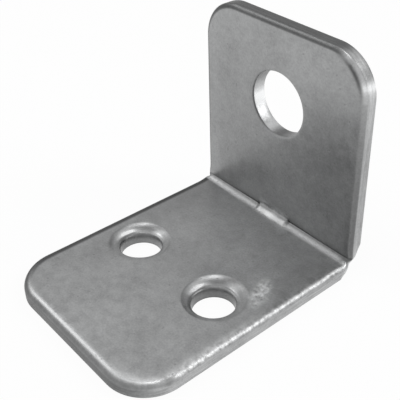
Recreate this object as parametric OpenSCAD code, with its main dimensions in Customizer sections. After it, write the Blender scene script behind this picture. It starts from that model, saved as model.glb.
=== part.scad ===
// Angle bracket: one strip of sheet steel, punched, rounded at both ends and folded once.
// The foot lies on the ground and points to -Y, the upright stands at its +Y end, X is the width.
// Sizes are in millimetres. The origin is the middle of the footprint, at ground level.

/* [Strip] */
// Width of the strip
strip_w = 30; // [26:0.5:45]
// Thickness of the sheet
sheet_t = 2.2; // [2:0.1:3.5]
// Radius of the four corners at the free ends
corner_r = 6.2; // [2:0.1:8]
// Rolled edge that the blanking press leaves all round the inner face
edge_roll = 0.5; // [0.2:0.05:0.8]

/* [Legs and fold] */
// Length of the foot, from the back of the upright to the free end
foot_l = 38.5; // [36:0.5:60]
// Height of the upright, from the ground to the free end
upright_h = 33; // [30:0.5:60]
// Radius inside the fold
fold_r = 0.8; // [0.6:0.1:1.8]
// How far the cut edges are drawn in at the outside of the fold
pinch_d = 0.8; // [0.2:0.1:1]
// Radius of the hollow that the drawing-in leaves across each cut edge
pinch_r = 3; // [2.5:0.1:5]

/* [Gusset] */
// Length of the pressed gusset along the fold
gusset_w = 7; // [3:0.5:9]
// Height that the gusset climbs up the upright, above the foot's upper face
gusset_h = 1.3; // [1.1:0.1:2]
// Depth of the press mark behind the gusset
mark_d = 0.5; // [0.2:0.1:0.9]

/* [Screw holes in the foot] */
// Diameter of each screw hole
screw_d = 6; // [4:0.1:8]
// Distance between the two screw holes
screw_gap = 16; // [14:0.5:19]
// Distance of both screw holes from the back of the upright
screw_y = 21; // [18:0.5:26]
// Width of the rounded lip that the punch leaves round each screw hole
lip_w = 1.4; // [0.8:0.1:2]
// Depth of that lip below the foot's upper face
lip_d = 0.6; // [0.3:0.05:0.7]
// Ledge between the lip and the straight wall of the screw hole
lip_ledge = 0.15; // [0.05:0.01:0.3]

/* [Hole in the upright] */
// Diameter of the hole
bolt_d = 9.6; // [6:0.1:12]
// Height of the hole's centre above the ground
bolt_z = 21.2; // [16:0.2:24]

/* [Hidden] */
$fn = 96;
// Cutters reach this far past the faces they cut
over = 1;
// The outside of the fold follows the inside at the sheet's thickness
fold_out = fold_r + sheet_t;

// Half of the sheet's section: a rectangle from the middle line out to the cut edge,
// with the edge of the inner face rolled over
module half_section(half_w) {
    square([half_w, sheet_t - edge_roll]);
    square([half_w - edge_roll, sheet_t]);
    translate([half_w - edge_roll, sheet_t - edge_roll])
        intersection() {
            circle(r = edge_roll);
            square(edge_roll);
        }
}

module full_section() {
    half_section(strip_w / 2);
    mirror([1, 0]) half_section(strip_w / 2);
}

// One flat leg: it starts at the fold, runs along +Y and has its outer face on z = 0
module leg(length) {
    corner_x = strip_w / 2 - corner_r;
    corner_y = length - corner_r;
    // straight run between the two cut edges
    translate([0, corner_y, 0])
        rotate([90, 0, 0])
            linear_extrude(corner_y)
                full_section();
    // free end between the corners
    translate([-corner_x, corner_y, 0])
        rotate([90, 0, 90])
            linear_extrude(2 * corner_x)
                half_section(corner_r);
    // the corners themselves
    translate([corner_x, corner_y, 0])
        rotate_extrude(angle = 90)
            half_section(corner_r);
    translate([-corner_x, corner_y, 0])
        rotate([0, 0, 90])
            rotate_extrude(angle = 90)
                half_section(corner_r);
}

// A quarter turn of the sheet's section about the middle of the fold
module fold() {
    translate([0, -fold_out, fold_out])
        rotate([0, 90, 0])
            rotate_extrude(angle = 90)
                translate([fold_out, 0])
                    rotate(90)
                        full_section();
}

// Folding draws the cut edge in at the outside: a shallow hollow across the edge,
// deepest at the outer face and gone just before the rolled edge starts
module pinch(side) {
    start = fold_r + 1.2 * edge_roll;
    lean = atan(pinch_d / (fold_out - start));
    mirror([side < 0 ? 1 : 0, 0, 0])
        translate([strip_w / 2, -fold_out, fold_out])
            rotate([-135, 0, 0])
                translate([pinch_r / cos(lean), 0, start])
                    rotate([0, -lean, 0])
                        translate([0, 0, -over])
                            cylinder(r = pinch_r, h = sheet_t + 3 * over);
}

// Gusset pressed up into the inside of the fold: a short ridge with a face at 45 degrees,
// sunk a quarter of the sheet's thickness into both legs
module gusset() {
    sunk = sheet_t / 4;
    translate([-gusset_w / 2, -sheet_t, sheet_t])
        rotate([90, 0, 90])
            linear_extrude(gusset_w)
                polygon([
                    [-gusset_h, -sunk],
                    [sunk, -sunk],
                    [sunk, gusset_h],
                    [0, gusset_h],
                    [-gusset_h, 0],
                ]);
}

// Mark of the press tool on the outside of the fold, behind the gusset
module press_mark() {
    reach = (sqrt(2) - 1) * fold_out + mark_d;
    rotate([45, 0, 0])
        translate([0, 0, reach - fold_out])
            cube([gusset_w, 4 * fold_out, 2 * fold_out], center = true);
}

// Screw hole: the punch drags the upper face down into a rounded lip above a straight wall.
// The lip is an arc that leaves the face at lip_angle and ends on the ledge.
module screw_hole(x) {
    hole_r = screw_d / 2;
    lip_angle = 12;
    arc_r = (pow(lip_w, 2) + pow(lip_d, 2)) / (2 * (lip_w * sin(lip_angle) + lip_d * cos(lip_angle)));
    rim = hole_r + lip_ledge + lip_w;
    translate([x, -screw_y, 0]) {
        translate([0, 0, -over])
            cylinder(r = hole_r, h = sheet_t + 2 * over);
        rotate_extrude()
            difference() {
                translate([0, sheet_t - lip_d])
                    square([rim, lip_d + over]);
                translate([rim - arc_r * sin(lip_angle), sheet_t - arc_r * cos(lip_angle)])
                    circle(r = arc_r);
            }
    }
}

module bolt_hole() {
    translate([0, over, bolt_z])
        rotate([90, 0, 0])
            cylinder(r = bolt_d / 2, h = sheet_t + 2 * over);
}

module bracket() {
    color("silver")
        translate([0, foot_l / 2, 0])
            difference() {
                union() {
                    translate([0, -fold_out, 0])
                        rotate([0, 0, 180])
                            leg(foot_l - fold_out);
                    fold();
                    translate([0, 0, fold_out])
                        rotate([90, 0, 0])
                            leg(upright_h - fold_out);
                    gusset();
                }
                pinch(1);
                pinch(-1);
                press_mark();
                screw_hole(screw_gap / 2);
                screw_hole(-screw_gap / 2);
                bolt_hole();
            }
}

bracket();
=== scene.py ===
"""Angle bracket of zinc-coated sheet steel, standing on its foot on a pale floor."""

import math

import bmesh
import bpy
import numpy as np
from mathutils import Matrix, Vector


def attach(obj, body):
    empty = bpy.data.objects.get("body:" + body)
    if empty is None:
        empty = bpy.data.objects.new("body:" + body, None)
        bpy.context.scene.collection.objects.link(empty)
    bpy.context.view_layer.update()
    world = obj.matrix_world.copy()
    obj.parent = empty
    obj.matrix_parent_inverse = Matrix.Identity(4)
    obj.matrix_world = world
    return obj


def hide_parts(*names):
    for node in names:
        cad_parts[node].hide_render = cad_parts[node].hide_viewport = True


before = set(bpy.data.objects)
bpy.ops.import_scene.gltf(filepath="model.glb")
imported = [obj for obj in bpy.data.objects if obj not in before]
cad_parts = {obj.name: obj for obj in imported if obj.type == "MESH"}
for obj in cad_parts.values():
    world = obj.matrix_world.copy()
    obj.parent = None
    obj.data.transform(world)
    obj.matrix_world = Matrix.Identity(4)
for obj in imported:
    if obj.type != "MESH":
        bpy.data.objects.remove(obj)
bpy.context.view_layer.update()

# The bracket. One strip of sheet steel, blanked with round corners and punched three times from
# the inner face, so its edges are rolled over there. It is then folded once in a press, with a
# short gusset struck into the fold, and barrel-coated with dull zinc.

# sizes in millimetres; both legs are measured over the outside of the fold
STRIP_W, SHEET_T, CORNER_R = 30.0, 2.2, 6.2
FOOT_L, UPRIGHT_H, FOLD_R = 38.5, 33.0, 0.8
SCREW_R, SCREW_X, SCREW_Y = 3.0, 8.0, 21.0
BOLT_R, BOLT_Z = 4.8, 21.2
# the lip round a screw hole: its nominal radius, the radius it really has on average, its depth
LIP_R, LIP_MEAN_R, LIP_D = 5.0, 4.5, 0.5
# half the width of the square of mesh that each kind of hole takes up
SCREW_SQUARE, BOLT_SQUARE = 5.6, 6.8
# the edge's roll, and the width of the band of mesh that carries the edge's profile
EDGE_ROLL, EDGE_BAND = 0.5, 1.0
# the gusset's width, how far it stands out of the corner, and the press mark behind it
GUSSET_W, GUSSET_OUT, MARK_D = 6.2, 0.6, 0.5
# how far the fillet in the fold reaches along the foot and up the upright
FILLET_W, FILLET_H = 1.15, 0.62
# how far the cut edges are drawn in outside the fold, swell inside it, and crease between
PINCH_D, SWELL_D, CREASE_D = 0.7, 0.22, 0.22

HALF_W = STRIP_W / 2
FOLD_OUT = FOLD_R + SHEET_T
FOLD_LEN = math.pi / 2 * (FOLD_R + SHEET_T / 2)
FOOT_END = FOLD_OUT - FOOT_L
UPRIGHT_END = FOLD_LEN + UPRIGHT_H - FOLD_OUT


def lines(*stops):
    """Grid lines: (position, cells up to the next position) pairs, then the last position."""
    parts = [np.linspace(a, b, n, endpoint=False) for (a, n), (b, _) in zip(stops, stops[1:])]
    return np.concatenate(parts + [[stops[-1][0]]])


def smooth(a, b, v):
    """0 at a and beyond it, 1 at b and beyond it, with a smooth step between them."""
    u = np.clip((v - a) / (b - a), 0, 1)
    return u * u * (3 - 2 * u)


def bell(v, at, width):
    """1 at a value, and e to the minus square of the distance from it, counted in widths."""
    return np.exp(-((v - at) / width) ** 2)


def folded(x, s, w):
    """Flat strip to folded sheet. s runs along the strip and is 0 where the fold starts, w is the
    height in the sheet from its outer face. Through the fold a point turns about the fold's middle
    at the radius that its height gives it; before and after, it moves straight on."""
    turn = np.clip(s / FOLD_LEN, 0, 1) * math.pi / 2
    radius = FOLD_OUT - w
    y = np.minimum(s, 0) - FOLD_OUT + radius * np.sin(turn)
    z = np.maximum(s - FOLD_LEN, 0) + FOLD_OUT - radius * np.cos(turn)
    return np.stack([x, y, z], axis=-1)


# grid lines across and along the strip, closer together at the gusset, the holes and the fold
screw_s = FOLD_OUT - SCREW_Y
bolt_s = FOLD_LEN + BOLT_Z - FOLD_OUT
beside_fold = 1.6
half = lines(
    (0, 6), (SCREW_X - SCREW_SQUARE, 3), (GUSSET_W / 2 - 0.25, 8), (GUSSET_W / 2 + 0.55, 9),
    (BOLT_SQUARE, 17), (SCREW_X + SCREW_SQUARE, 2), (HALF_W - EDGE_BAND, 0))
across = np.concatenate([-half[:0:-1], half])
along = lines(
    (FOOT_END + EDGE_BAND, 16), (FOOT_END + CORNER_R, 15),
    (screw_s - SCREW_SQUARE, 26), (screw_s + SCREW_SQUARE, 30),
    (-beside_fold, 8), (0, 24), (FOLD_LEN, 8), (FOLD_LEN + beside_fold, 24),
    (bolt_s - BOLT_SQUARE, 34), (bolt_s + BOLT_SQUARE, 10), (UPRIGHT_END - EDGE_BAND, 0))

# the four corner arcs turn about these lines
mid_x = HALF_W - CORNER_R
low_s, high_s = FOOT_END + CORNER_R, UPRIGHT_END - CORNER_R


def past_middles(x, s):
    """How far a point lies past the middles of the corner arcs, across and along the strip: its
    coordinates less the same coordinates held between those middles."""
    return x - np.clip(x, -mid_x, mid_x), s - np.clip(s, low_s, high_s)


# the grid's corners are bent onto the arcs, a square to a quarter disc: each coordinate from the
# arc's middle is scaled by the root of one less half the square of the other
inner_r = CORNER_R - EDGE_BAND
grid_x, grid_s = np.meshgrid(across, along, indexing="ij")
past_x, past_s = past_middles(grid_x, grid_s)
a, b = past_x / inner_r, past_s / inner_r
grid_x = grid_x - past_x + past_x * np.sqrt(1 - b * b / 2)
grid_s = grid_s - past_s + past_s * np.sqrt(1 - a * a / 2)

points, marks, faces = [], [], []


def add_points(x, s, w, cut=0.0, shade=0.0):
    """Keeps an array of strip points and gives back their numbers in the mesh, in the same shape.
    cut is 1 on sheared metal; shade is painted light, painted shade below 0 and a painted
    highlight above 0."""
    first = sum(len(block) for block in points)
    x, s, w, cut, shade = np.broadcast_arrays(x, s, w, cut, shade)
    points.append(np.stack([x, s, w], axis=-1).reshape(-1, 3))
    marks.append(np.stack([cut, shade], axis=-1).reshape(-1, 2))
    return first + np.arange(x.size).reshape(x.shape)


def add_quads(ids, keep=None):
    """Quads between neighbouring rows and columns of an array of point numbers."""
    quads = np.stack([ids[:-1, :-1], ids[1:, :-1], ids[1:, 1:], ids[:-1, 1:]], axis=-1)
    faces.append(quads[keep] if keep is not None else quads.reshape(-1, 4))


def loop_of(ids, i0, i1, j0, j1):
    """Point numbers round a rectangle of the grid, closed."""
    return np.concatenate([
        ids[i0:i1, j0], ids[i1, j0:j1], ids[i1:i0:-1, j1], ids[i0, j1:j0:-1], ids[i0:i0 + 1, j0]])


def add_ring(front, ids, back):
    """Quads from a loop of the inner face, over the rows of a ring, to a loop of the outer face."""
    ring = np.concatenate([ids, ids[:1]])
    add_quads(np.concatenate([front[:, None], ring, back[:, None]], axis=1))


# the holes' walls from the inner face to the outer face, as rows of (radius, height in the sheet,
# painted shade and highlight, share of the painted rim light); directions round a hole are in
# degrees, 0 to the right, 90 to the upright
screw_wall = np.array([
    (LIP_R, SHEET_T, 0, 0),
    (4.85, SHEET_T - 0.04, 0, 0),
    (4.6, SHEET_T - 0.13, 0.1, 0.4),
    (4.35, SHEET_T - 0.23, 0.05, 0.5),
    (4.1, SHEET_T - 0.3, -0.05, 0.65),
    (3.85, SHEET_T - 0.35, -0.15, 0.9),
    (3.65, SHEET_T - 0.4, -0.25, 0.9),
    (3.5, SHEET_T - 0.45, -0.4, 0.7),
    (3.42, SHEET_T - LIP_D, -0.5, 0.3),
    (3.38, SHEET_T - LIP_D - 0.02, -0.5, 0),
    (3.3, SHEET_T - LIP_D - 0.04, -0.45, 0),
    (3.15, SHEET_T - LIP_D - 0.12, -0.45, 0),
    (3.05, SHEET_T - LIP_D - 0.2, -0.45, 0),
    (SCREW_R, SHEET_T - LIP_D - 0.3, -0.4, 0),
    (SCREW_R, 0.9, -0.35, 0),
    (SCREW_R, 0.25, -0.35, 0),
    (SCREW_R, 0.1, -0.9, 0),
    (SCREW_R + 0.04, 0.03, -0.7, 0),
    (SCREW_R + 0.12, 0.0, 0, 0)])
bolt_wall = np.array([
    (BOLT_R + 0.35, SHEET_T, 0, 0),
    (BOLT_R + 0.15, SHEET_T - 0.015, 0, 0.4),
    (BOLT_R + 0.04, SHEET_T - 0.08, 0, 1),
    (BOLT_R, SHEET_T - 0.2, 1, 0),
    (BOLT_R, 1.4, 1, 0),
    (BOLT_R, 0.7, 1, 0),
    (BOLT_R, 0.15, 1, 0),
    (BOLT_R + 0.04, 0.04, 0.5, 0),
    (BOLT_R + 0.15, 0.0, 0, 0)])

# how each screw hole came out of the press: the lip's shift up and to the right as the camera sees
# it, the share of its depth that is missing away from the fold, the burr at the lower rim, the
# extra radius of the near rim, how strong the lip's painted shades and highlights are, and how
# much painted shade its left slope gets
VIEW_UP, VIEW_RIGHT = 138, 48
LEFT_HOLE = dict(up=0.4, right=-0.2, shallow=0.75, burr=0.22, wider=0.0, contrast=0.5, dull=0.45)
RIGHT_HOLE = dict(up=0.55, right=0.2, shallow=0.7, burr=0.14, wider=0.15, contrast=1.0, dull=0.0)


def near(turn, at, width):
    """1 at a direction round a hole, falling off as a bell over this width, both in degrees."""
    return bell(np.degrees(np.angle(np.exp(1j * (turn - math.radians(at))))), 0, width)


def around(turn, *bells):
    """The sum of bells round a hole, each given as (strength, direction, width)."""
    return sum(strength * near(turn, at, width) for strength, at, width in bells)


def screw_rows(turn, hole):
    """Radius, height and painted light of a screw hole's rows in each direction. The radii above the
    straight wall are stretched to a lip whose radius varies with the cosine of the direction; the
    lip's depth and the burr vary as bells of direction, and the painted shade and highlights as
    bells of both."""
    radius, height, shade, rim_light_share = screw_wall.T
    on_lip = height > 1.2
    # the punch came down a little off centre, so the lip is wider at the fold's side
    lip_r = (LIP_MEAN_R + hole["up"] * np.cos(turn - math.radians(VIEW_UP))
             + hole["right"] * np.cos(turn - math.radians(VIEW_RIGHT)))
    stretched = SCREW_R + (radius - SCREW_R) * (lip_r - SCREW_R) / (LIP_R - SCREW_R)
    place_r = np.where(on_lip, stretched, radius)
    place_r = place_r - hole["burr"] * near(turn, 135, 110) * ~on_lip
    place_r = place_r + hole["wider"] * near(turn, -42, 45) * (on_lip & (radius < 3.6))
    # it sank the lip less at the side away from the fold
    sunk = (SHEET_T - height) * (1 - hole["shallow"] * near(turn, -45, 70) * on_lip)
    # the rows' painted shade is strongest at the back of the hole, as the camera sees it, and weak
    # at its near side
    shade = shade * hole["contrast"] * (0.3 + 0.9 * near(turn, VIEW_UP, 75))
    # painted highlights on the lip at two places, and on its inner rim at the left
    shade = shade + rim_light_share * around(
        turn, (1.3, 182, 25), (0.7, 95, 15), (-0.1, -40, 70), (-0.3, 130, 22))
    shade = shade + bell(radius, 3.75, 0.22) * around(turn, (1.05, 172, 19))
    # painted shade on the lip's outer slope at its sides, and a painted highlight above a painted
    # darker line at the back
    shade = shade - bell(radius, 4.6, 0.33) * around(
        turn, (0.3, 182, 30), (0.85, 103, 20), (0.3, 35, 35), (hole["dull"], 224, 20))
    shade = shade + near(turn, 140, 28) * (
        0.75 * bell(radius, 4.8, 0.25) - 0.15 * bell(radius, 4.2, 0.25))
    return place_r, SHEET_T - sunk, shade


def bolt_rows(turn):
    """The same for the bolt hole, which is round: its wall carries a painted reflection at the left
    and its rim a painted dark line there, so only the painted light varies, as bells of direction."""
    radius, height, shade, rim_light_share = bolt_wall.T
    wall_painted_light = around(
        turn, (1.6, 203, 52), (0.4, 250, 14), (-0.8, 222, 14), (0.4, 195, 12), (-0.5, 122, 32),
        (-0.4, 270, 12)) - 0.5
    return radius + 0 * turn, height + 0 * turn, shade * wall_painted_light - 1.1 * rim_light_share * near(turn, 208, 38)


inner = add_points(grid_x, grid_s, SHEET_T)
outer = add_points(grid_x, grid_s, 0.0)
uncut = np.ones((len(across) - 1, len(along) - 1), bool)
# rows that run in from the square to the hole's rim on each face, as shares of the way
inward = np.array([[0.2, 0.4, 0.6, 0.8, 0.93]])
slack = 1e-6
for hx, hs, square, wall, hole in (
        (-SCREW_X, screw_s, SCREW_SQUARE, screw_wall, LEFT_HOLE),
        (SCREW_X, screw_s, SCREW_SQUARE, screw_wall, RIGHT_HOLE),
        (0.0, bolt_s, BOLT_SQUARE, bolt_wall, None)):
    i0, i1 = np.searchsorted(across, [hx - square - slack, hx + square - slack])
    j0, j1 = np.searchsorted(along, [hs - square - slack, hs + square - slack])
    uncut[i0:i1, j0:j1] = False
    front, back = loop_of(inner, i0, i1, j0, j1), loop_of(outer, i0, i1, j0, j1)
    start = np.concatenate(points)[front[:-1]] - (hx, hs, 0)
    turn = np.arctan2(start[:, 1], start[:, 0])[:, None]
    far = np.hypot(start[:, 0], start[:, 1])[:, None]
    wall_r, height, shade = screw_rows(turn, hole) if hole else bolt_rows(turn)
    face_r = far + (wall_r[:, :1] - far) * inward
    back_r = far + (wall[-1, 0] - far) * inward[:, ::-1]
    ring_r = np.concatenate([face_r, wall_r, back_r], axis=1)
    ring_w = np.concatenate([0 * face_r + SHEET_T, height, 0 * back_r], axis=1)
    ring_shade = np.concatenate([0 * face_r, shade, 0 * back_r], axis=1)
    add_ring(front, add_points(
        hx + ring_r * np.cos(turn), hs + ring_r * np.sin(turn), ring_w, 0.0, ring_shade), back)
add_quads(inner, uncut)
add_quads(outer, uncut)

# the edge all round: the sheet's profile carried along the strip's outline, from the inner face
# over the rolled edge and down the sheared cut to the outer face; rows of (distance out, height in
# the sheet, cut, share of the rolled edge's painted light)
q = np.linspace(0, math.pi / 2, 9)
roll_w = 1.5 * EDGE_ROLL
profile = np.concatenate([
    [(0.1, SHEET_T, 0, 0)],
    np.stack([
        EDGE_BAND - roll_w + roll_w * np.sin(q), SHEET_T - EDGE_ROLL * (1 - np.cos(q)),
        smooth(1.2, 1.5, q), smooth(0, 0.7, q) * (1 - smooth(1.1, 1.45, q))], axis=-1),
    [(EDGE_BAND, height, 1, 0) for height in (1.45, 1.2, 0.95, 0.7, 0.45, 0.2)],
    [(EDGE_BAND - 0.01, 0.09, 1, 0), (EDGE_BAND - 0.05, 0.03, 0.4, 0),
     (EDGE_BAND - 0.12, 0, 0, 0)]])
past, height, is_cut, is_roll = profile.T
front = loop_of(inner, 0, len(across) - 1, 0, len(along) - 1)
back = loop_of(outer, 0, len(across) - 1, 0, len(along) - 1)
rim_x, rim_s, _ = np.concatenate(points)[front[:-1]].T[..., None]
out_x, out_s = (v / inner_r for v in past_middles(rim_x, rim_s))
# painted light on the cut and the roll by the side they face: painted bright at the right and
# dark at the left and at the upright's end, as the light falls on each side
right, left, top, tip = (np.maximum(v, 0) for v in (out_x, -out_x, out_s, -out_s))
on_upright = smooth(0, 4, rim_s)
low_on_it = 1 - smooth(FOLD_LEN, high_s, rim_s)
# round the upright's right corner the painted dark of its end gives way to a lighter cut with a
# painted darker band, and a painted glint sits low on its arc
corner_turn = np.arctan2(top, right) * (top > 0)
painted_corner = (top > 0) * (right > 0) * (1 - smooth(1.1, 1.45, corner_turn))
glint = smooth(0.02, 0.12, corner_turn) * bell(corner_turn, 0.38, 0.14) * (right > 0.1)
cut_shade = (
    0.3 * right - 1.2 * left - 1.15 * top ** 2 * (1 - 0.85 * painted_corner) - 0.84 * tip ** 2
    + 0.9 * glint - 0.95 * painted_corner * bell(corner_turn, 0.64, 0.24))
roll_shade = (
    0.27 * right * (1 - on_upright) - 0.5 * right * on_upright * low_on_it - 0.4 * right * tip
    - 1.1 * left - 0.92 * top * (1 - painted_corner) - 0.35 * tip ** 2
    + 0.2 * painted_corner * (1 - glint) + 0.8 * glint)
# a painted dark line where the roll starts at the upright's end
start_shade = -0.7 * top ** 2 * (1 - painted_corner) * bell(np.arange(len(profile)), 2.5, 0.8)
add_ring(front, add_points(
    rim_x + out_x * past, rim_s + out_s * past, height,
    is_cut, is_cut * cut_shade + is_roll * roll_shade + start_shade), back)

x, s, w = np.concatenate(points).T
cut, shade = np.concatenate(marks).T

# the press rolled the edges over further than the arc alone, and most at the foot's free end:
# inset is the distance in from the outline, and the drop falls off with its square
past_x, past_s = past_middles(x, s)
off = np.hypot(past_x, past_s)
inset = CORNER_R - off - np.minimum(
    np.maximum(np.abs(x) - mid_x, np.maximum(low_s - s, s - high_s)), 0)
right, left, tip = (np.maximum(v, 0) / (off + 1e-9) for v in (past_x, -past_x, -past_s))
drop = 0.06 + 0.42 * tip ** 2 + 0.2 * right
near_edge = np.clip(1 - inset / (1.35 + 0.5 * right + 2.2 * right * tip), 0, 1) ** 2
sheet_depth = w / SHEET_T
w = w - drop * near_edge * smooth(0.1, 0.9, sheet_depth)
inner_side = w > 1.2

# painted shade just inside the rolled edge round the upright's right corner
corner_turn = np.arctan2(np.maximum(past_s, 0), past_x)
dark = bell(inset, 0.75, 0.25) * bell(corner_turn, 0.72, 0.4) * (x > mid_x)
shade = shade - 1.2 * dark * inner_side

# painted shade on the roll of the foot's left edge
shade = shade - 1.2 * left ** 3 * (1 - smooth(0.9, 1.35, inset)) * (s < 0) * inner_side

# a painted highlight on the foot where it starts to roll over at the right and at the front corner
painted_glow = bell(inset, 0.8, 0.5) * (right ** 2 + 0.6 * right * tip) * (1 - smooth(-20, -13, s))
shade = shade + 0.35 * painted_glow * inner_side

# a small dent in the corner where the foot's end meets its right side, with painted shade in it
dent = bell(x, 14.6, 0.6) * bell(s, -30.6, 0.6)
w = w - 0.06 * dent * smooth(0.3, 0.9, sheet_depth)
shade = shade - 0.4 * dent * smooth(0.6, 0.8, sheet_depth)

# folding draws the cut edges in at the outside of the fold and swells them at the inside, with a
# crease across the cut face where the two legs meet; phase runs through the fold from -0.5 to 0.5
phase = (s - FOLD_LEN / 2) / FOLD_LEN
at_edge = smooth(HALF_W - 4.0, HALF_W, np.abs(x))
drawn = np.clip(1 - (np.abs(phase) / np.where(phase < 0, 0.72, 1.0)) ** 1.3, 0, 1)
swollen = bell(np.abs(phase), 0.42, 0.34) * sheet_depth * smooth(0, 0.4, sheet_depth)
creased = bell(phase, 0, 0.15) * smooth(HALF_W - 0.9, HALF_W, np.abs(x))
x = x - np.sign(x) * at_edge * (
    PINCH_D * drawn * (1 - sheet_depth) ** 0.9 - SWELL_D * swollen + CREASE_D * creased)

place = folded(x, s, w)

# inside the fold: up is the way from the foot to the upright across the corner, out is the
# distance from the corner; the sheet lies on a fillet that ends in a crease against the upright,
# an arc whose radius is half the sum of the squares of its two reaches over the shorter one
root = math.sqrt(2)
bisector = np.array([0, -1, 1]) / root
corner_y, corner_z = (folded(x, s, SHEET_T)[:, 1:] - (-SHEET_T, SHEET_T)).T / root
up, out = corner_z + corner_y, corner_z - corner_y
fillet_r = (FILLET_W ** 2 + FILLET_H ** 2) / (2 * FILLET_H)
sweep = np.clip(up, -FILLET_W / root, FILLET_H / root) - (fillet_r - FILLET_W) / root
fillet = (FILLET_W + fillet_r) / root - np.sqrt(fillet_r ** 2 - sweep ** 2)
at_fold = (np.abs(up) < 1.2) & (s > -3) & (s < FOLD_LEN + 3)
on_face = smooth(0.72, 0.95, sheet_depth)

# the gusset is a rounded ridge on that fillet: the largest of its lower slope, its upper slope
# and the fillet, blended as the logarithm of the sum of their powers
blend = 12
within = 1 - smooth(GUSSET_W / 2 - 0.5, GUSSET_W / 2 + 0.3, np.abs(x))
lower = GUSSET_OUT - 0.04 + 0.02 * np.cos(x * 2.1) - 0.2 * up
upper = GUSSET_OUT - 0.16 + 0.3 * up
ridge = np.logaddexp(np.logaddexp(blend * lower, blend * upper), blend * fillet) / blend
crease_groove_and_shade = (
    bell(up, FILLET_H / root, 0.07) * (1 - within) * at_fold
    * (1 - 0.6 * smooth(5, 9, np.abs(x))))
lift = np.maximum(fillet + within * (ridge - fillet) - out, 0) * at_fold - 0.07 * crease_groove_and_shade

# it carries uneven painted shade below its crest and is rough above, with a painted dark notch at
# both its ends; the fillet beside it carries painted shade too, most of all near the crease, a
# little painted light lower down, and a painted dark line in the crease's groove
uneven_painted_shade = (
    0.1 * np.cos(x * 1.3 + 0.6) - 0.15) * smooth(-0.9, -0.6, up) * (1 - smooth(0.1, 0.5, up))
dull = (
    (1 - smooth(0.4, 0.6, up)) * (1 - 0.3 * smooth(-7, -12, x))
    * (0.15 * smooth(-1.1, -0.8, up) + 0.45 * smooth(-0.45, 0.0, up) - 0.25 * bell(up, -0.65, 0.25)))
notch_shade = bell(np.abs(x), GUSSET_W / 2 + 0.1, 0.2) * bell(up, 0.5, 0.22)
shade = shade + on_face * (
    at_fold * (within * uneven_painted_shade - (1 - within) * dull) - 0.7 * crease_groove_and_shade - 0.9 * notch_shade)
scuff = 0.55 * on_face * within * smooth(0.45, 0.65, up) * (1 - smooth(0.9, 1.5, up))

# painted shade, standing in for darker reflections: the coat is painted a little darker in the
# middle of the strip than at its two free ends, and at the foot's left side; climb is the height
# of a point of the upright above the ground
climb = s - FOLD_LEN + FOLD_OUT
foot_painted_shade = (
    0.09 * smooth(-30, -18, s)
    + 0.06 * smooth(-6, 5, x) * (1 - 0.6 * smooth(-18, -10, s))
    + smooth(-5, -10, x) * (0.06 + 0.06 * smooth(-12, -4, s) + 0.06 * bell(s, -29, 4))
    + 0.15 * smooth(-9, -12, x) * smooth(-15, -12, s)
    + 0.14 * bell(x, 12.5, 3) * bell(s, -4, 2))
upright_painted_shade = (
    (0.15 + 0.08 * smooth(0, 8, x) * smooth(6, 15, climb))
    * smooth(0, 4.5, climb) * (1 - smooth(18, 28, climb))
    + 0.09 * bell(x, 10.5, 3.5) * bell(climb, 21, 5)
    - 0.03 * smooth(22, 30, climb)
    - 0.09 * smooth(-11.5, -13, x))
shade = shade - np.where(s < 0, foot_painted_shade, upright_painted_shade)

# outside the fold the press tool leaves a flat mark behind the gusset
mark_out = (root - 1) * FOLD_OUT + MARK_D
press = np.maximum(mark_out - place @ bisector, 0) * within * (sheet_depth < 0.01)
place = place + (lift * on_face + press)[:, None] * bisector

# a knock beside one screw hole: a shallow scuffed hollow in the foot's upper face, longer than it
# is wide
knock_x, knock_s = x - 11.1, s - (FOLD_OUT - 15.6)
knock = on_face * (s < 0) * (
    bell(0.91 * knock_x + 0.41 * knock_s, 0, 1.15) * bell(0.41 * knock_x - 0.91 * knock_s, 0, 3))
place[:, 2] -= 0.1 * knock
scuff = scuff + 0.75 * smooth(0.15, 0.7, knock)

# what the coat reads from the mesh; edge is 1 on the foot's right edge, where the roll is chipped
attributes = {
    "cut": cut, "shade": shade, "scuff": scuff, "sheet_depth": sheet_depth,
    "edge": near_edge * right ** 6 * smooth(0.8, 0.9, sheet_depth)
    * smooth(low_s - 0.4, low_s + 0.6, s) * (s < 0)}

MILLIMETRE = 0.001
place[:, 1] += FOOT_L / 2
mesh = bpy.data.meshes.new("angle_bracket")
mesh.from_pydata((place * MILLIMETRE).tolist(), [], np.concatenate(faces).tolist())
for name, values in attributes.items():
    layer = mesh.attributes.new(name, "FLOAT", "POINT")
    layer.data.foreach_set("value", values.astype(np.float32))
shell = bmesh.new()
shell.from_mesh(mesh)
bmesh.ops.remove_doubles(shell, verts=shell.verts, dist=1e-7)
bmesh.ops.recalc_face_normals(shell, faces=shell.faces)
shell.to_mesh(mesh)
shell.free()
mesh.shade_smooth()
mesh.set_sharp_from_angle(angle=math.radians(38))
bracket = bpy.data.objects.new("angle_bracket", mesh)
bpy.context.collection.objects.link(bracket)


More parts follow.
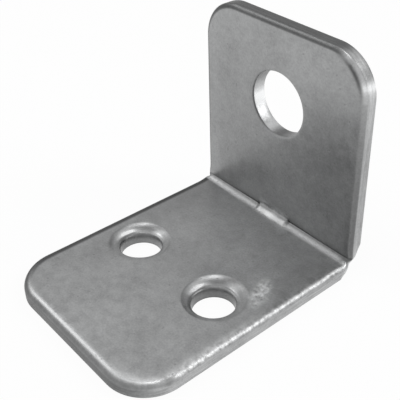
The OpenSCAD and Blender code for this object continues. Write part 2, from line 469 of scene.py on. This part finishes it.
class Value:
    """A shader socket that takes part in arithmetic: each operator adds a Math node. Without a
    socket it stands for an empty tree, to which the first nodes are added."""

    def __init__(self, tree, socket=None):
        self.tree, self.socket = tree, socket

    def feed(self, socket):
        self.tree.links.new(self.socket, socket)

    def node(self, kind, settings=None, out=0, **sockets):
        """Adds a node of this type, makes its settings, fills its sockets with values or links and
        returns one output. A socket goes by its name, or by _ and its number."""
        made = self.tree.nodes.new("ShaderNode" + kind)
        for key, value in (settings or {}).items():
            setattr(made, key, value)
        for key, value in sockets.items():
            name = key.lstrip("_")
            socket = made.inputs[int(name) if name.isdigit() else name]
            if isinstance(value, Value):
                value.feed(socket)
            else:
                socket.default_value = value
        return Value(self.tree, made.outputs[out])

    def math(self, operation, first, second):
        return self.node("Math", {"operation": operation}, _0=first, _1=second)

    def __add__(self, other): return self.math("ADD", self, other)
    def __radd__(self, other): return self.math("ADD", other, self)
    def __mul__(self, other): return self.math("MULTIPLY", self, other)
    def __rmul__(self, other): return self.math("MULTIPLY", other, self)
    def __sub__(self, other): return self.math("SUBTRACT", self, other)
    def __rsub__(self, other): return self.math("SUBTRACT", other, self)
    def __rpow__(self, other): return self.math("POWER", other, self)

    def larger(self, other): return self.math("MAXIMUM", self, other)
    def held(self): return self.node("Clamp", _0=self)


def principled(name):
    """A new material, its shader, and the Value that its other nodes are added from."""
    material = bpy.data.materials.new(name)
    material.use_nodes = True
    tree = material.node_tree
    return material, tree.nodes["Principled BSDF"], Value(tree)


# how light the coat is, on a scale from black to white, and its slightly cool tint
LEVEL, TINT = 0.35, (0.985, 0.995, 1, 1)
zinc, shader, empty = principled("dull zinc coat on steel")
spot = empty.node("TexCoord", out="Object")


def noise(scale, detail, rough=0.55):
    """Noise about 0 at this many cells to the metre."""
    return spot.node(
        "TexNoise", {"noise_dimensions": "3D"}, Vector=spot, Scale=scale, Detail=detail,
        Roughness=rough) - 0.5


# the coat: broad cloudy patches, a fine mottle of crystals, a grain of specks and a few dark pits
cloud = noise(130, 3)
mottle = noise(800, 5, 0.7)
grain = noise(3600, 2)
pits = ((noise(1600, 1) - 0.2) * 12).held()
# the sheared edge: streaks that run along it, left by the knife and the torn metal below
cut, shade, scuff, sheet_depth, edge = (
    spot.node("Attribute", {"attribute_name": name}, out="Fac") for name in attributes)
streaks = spot.node(
    "TexNoise", {"noise_dimensions": "4D"}, Vector=spot, W=sheet_depth * 0.04, Scale=300,
    Detail=4.0, Roughness=0.7) - 0.5
torn = noise(1500, 3)

patches = (
    cloud * 0.5 + mottle * 0.6 + grain * 0.4 + cut * streaks * 1.6 + scuff * (torn * 5 + 0.9)
    + edge * torn * 3 - pits * 0.22)
# the painted shade and highlights from the mesh darken and lighten the coat's level
level = LEVEL * (1 + patches) * 2 ** (shade * 1.6)
colour = spot.node(
    "Mix", {"data_type": "RGBA", "clamp_factor": True}, out=2, _0=level, _6=(0, 0, 0, 1), _7=TINT)
rough = 0.35 + mottle * 0.3 + cloud * 0.2 + edge * 0.16 - shade * 0.05
relief = mottle * 0.5 + grain * 0.5 + cut * streaks + (scuff + edge) * torn * 3 - pits * 0.5
bumped = spot.node("Bump", Height=relief, Strength=0.4, Distance=0.00006)

colour.feed(shader.inputs["Base Color"])
rough.feed(shader.inputs["Roughness"])
bumped.feed(shader.inputs["Normal"])
shader.inputs["Metallic"].default_value = 0.9
mesh.materials.append(zinc)

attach(bracket, "root")
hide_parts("bracket")

# The floor. A seamless white paper sheet under the bracket; it is lit evenly enough to render
# white and keeps the shadow.

PAPER_HALF = 1.5
corners = np.array([(-1, -1, 0), (1, -1, 0), (1, 1, 0), (-1, 1, 0)]) * PAPER_HALF
floor_mesh = bpy.data.meshes.new("floor")
floor_mesh.from_pydata(corners.tolist(), [], [(0, 1, 2, 3)])
floor = bpy.data.objects.new("floor", floor_mesh)
bpy.context.collection.objects.link(floor)
paper, shader, empty = principled("white paper sheet")
shader.inputs["Base Color"].default_value = (0.9, 0.9, 0.9, 1)
shader.inputs["Roughness"].default_value = 0.9
shader.inputs["Specular IOR Level"].default_value = 0.1
# seen by the camera or in the metal, the paper glows white instead of showing the lamps' falloff
seen, mirrored = (empty.node("LightPath", out=f"Is {kind} Ray") for kind in ("Camera", "Glossy"))
glow = empty.node("Emission", Color=(1, 1, 1, 1), Strength=1.0)
mixed = empty.node(
    "MixShader", Fac=seen.larger(mirrored) * 0.94, _1=Value(empty.tree, shader.outputs[0]), _2=glow)
mixed.feed(empty.tree.nodes["Material Output"].inputs["Surface"])
floor_mesh.materials.append(paper)

# The studio. A pale room and three small soft lamps: one at the left and one at the right rear,
# which draw the bright lines along the rolled edges, and one almost straight above.

world = bpy.data.worlds.new("pale room")
bpy.context.scene.world = world
world.use_nodes = True
sky = world.node_tree.nodes["Background"]
sky.inputs["Color"].default_value = (1, 1, 1, 1)
empty = Value(world.node_tree)
seen, mirrored = (empty.node("LightPath", out=f"Is {kind} Ray") for kind in ("Camera", "Glossy"))
strength = seen * 0.18 + seen.larger(mirrored) * 0.32 + 0.5
strength.feed(sky.inputs["Strength"])

LAMP_DISTANCE = 0.35
for name, direction, size, power in (
        ("left lamp", (-0.6, -0.3, 0.74), 0.18, 0.26),
        ("right rear lamp", (0.57, 0.54, 0.62), 0.15, 0.35),
        ("lamp above", (0.0, -0.05, 1.0), 0.12, 0.15)):
    lamp = bpy.data.lights.new(name, "AREA")
    lamp.shape, lamp.size, lamp.energy = "SQUARE", size, power
    holder = bpy.data.objects.new(name, lamp)
    bpy.context.collection.objects.link(holder)
    holder.location = Vector(direction) * LAMP_DISTANCE
    holder.rotation_euler = Vector(direction).to_track_quat("Z", "Y").to_euler()

# The camera. It stands where the photograph was taken from, right of the foot and above it; the
# small shift keeps the bracket where the photograph frames it.

camera = bpy.data.objects.new("camera", bpy.data.cameras.new("camera"))
bpy.context.collection.objects.link(camera)
camera.location = (0.066188, -0.050315, 0.072126)
camera.rotation_euler = [math.radians(v) for v in (57.156, -0.057, 47.968)]
camera.data.sensor_width = 36
camera.data.lens = 69.844
camera.data.shift_x, camera.data.shift_y = -0.09, -0.0875
camera.data.clip_start = 0.005
bpy.context.scene.camera = camera
bpy.context.scene.view_settings.view_transform = "Standard"
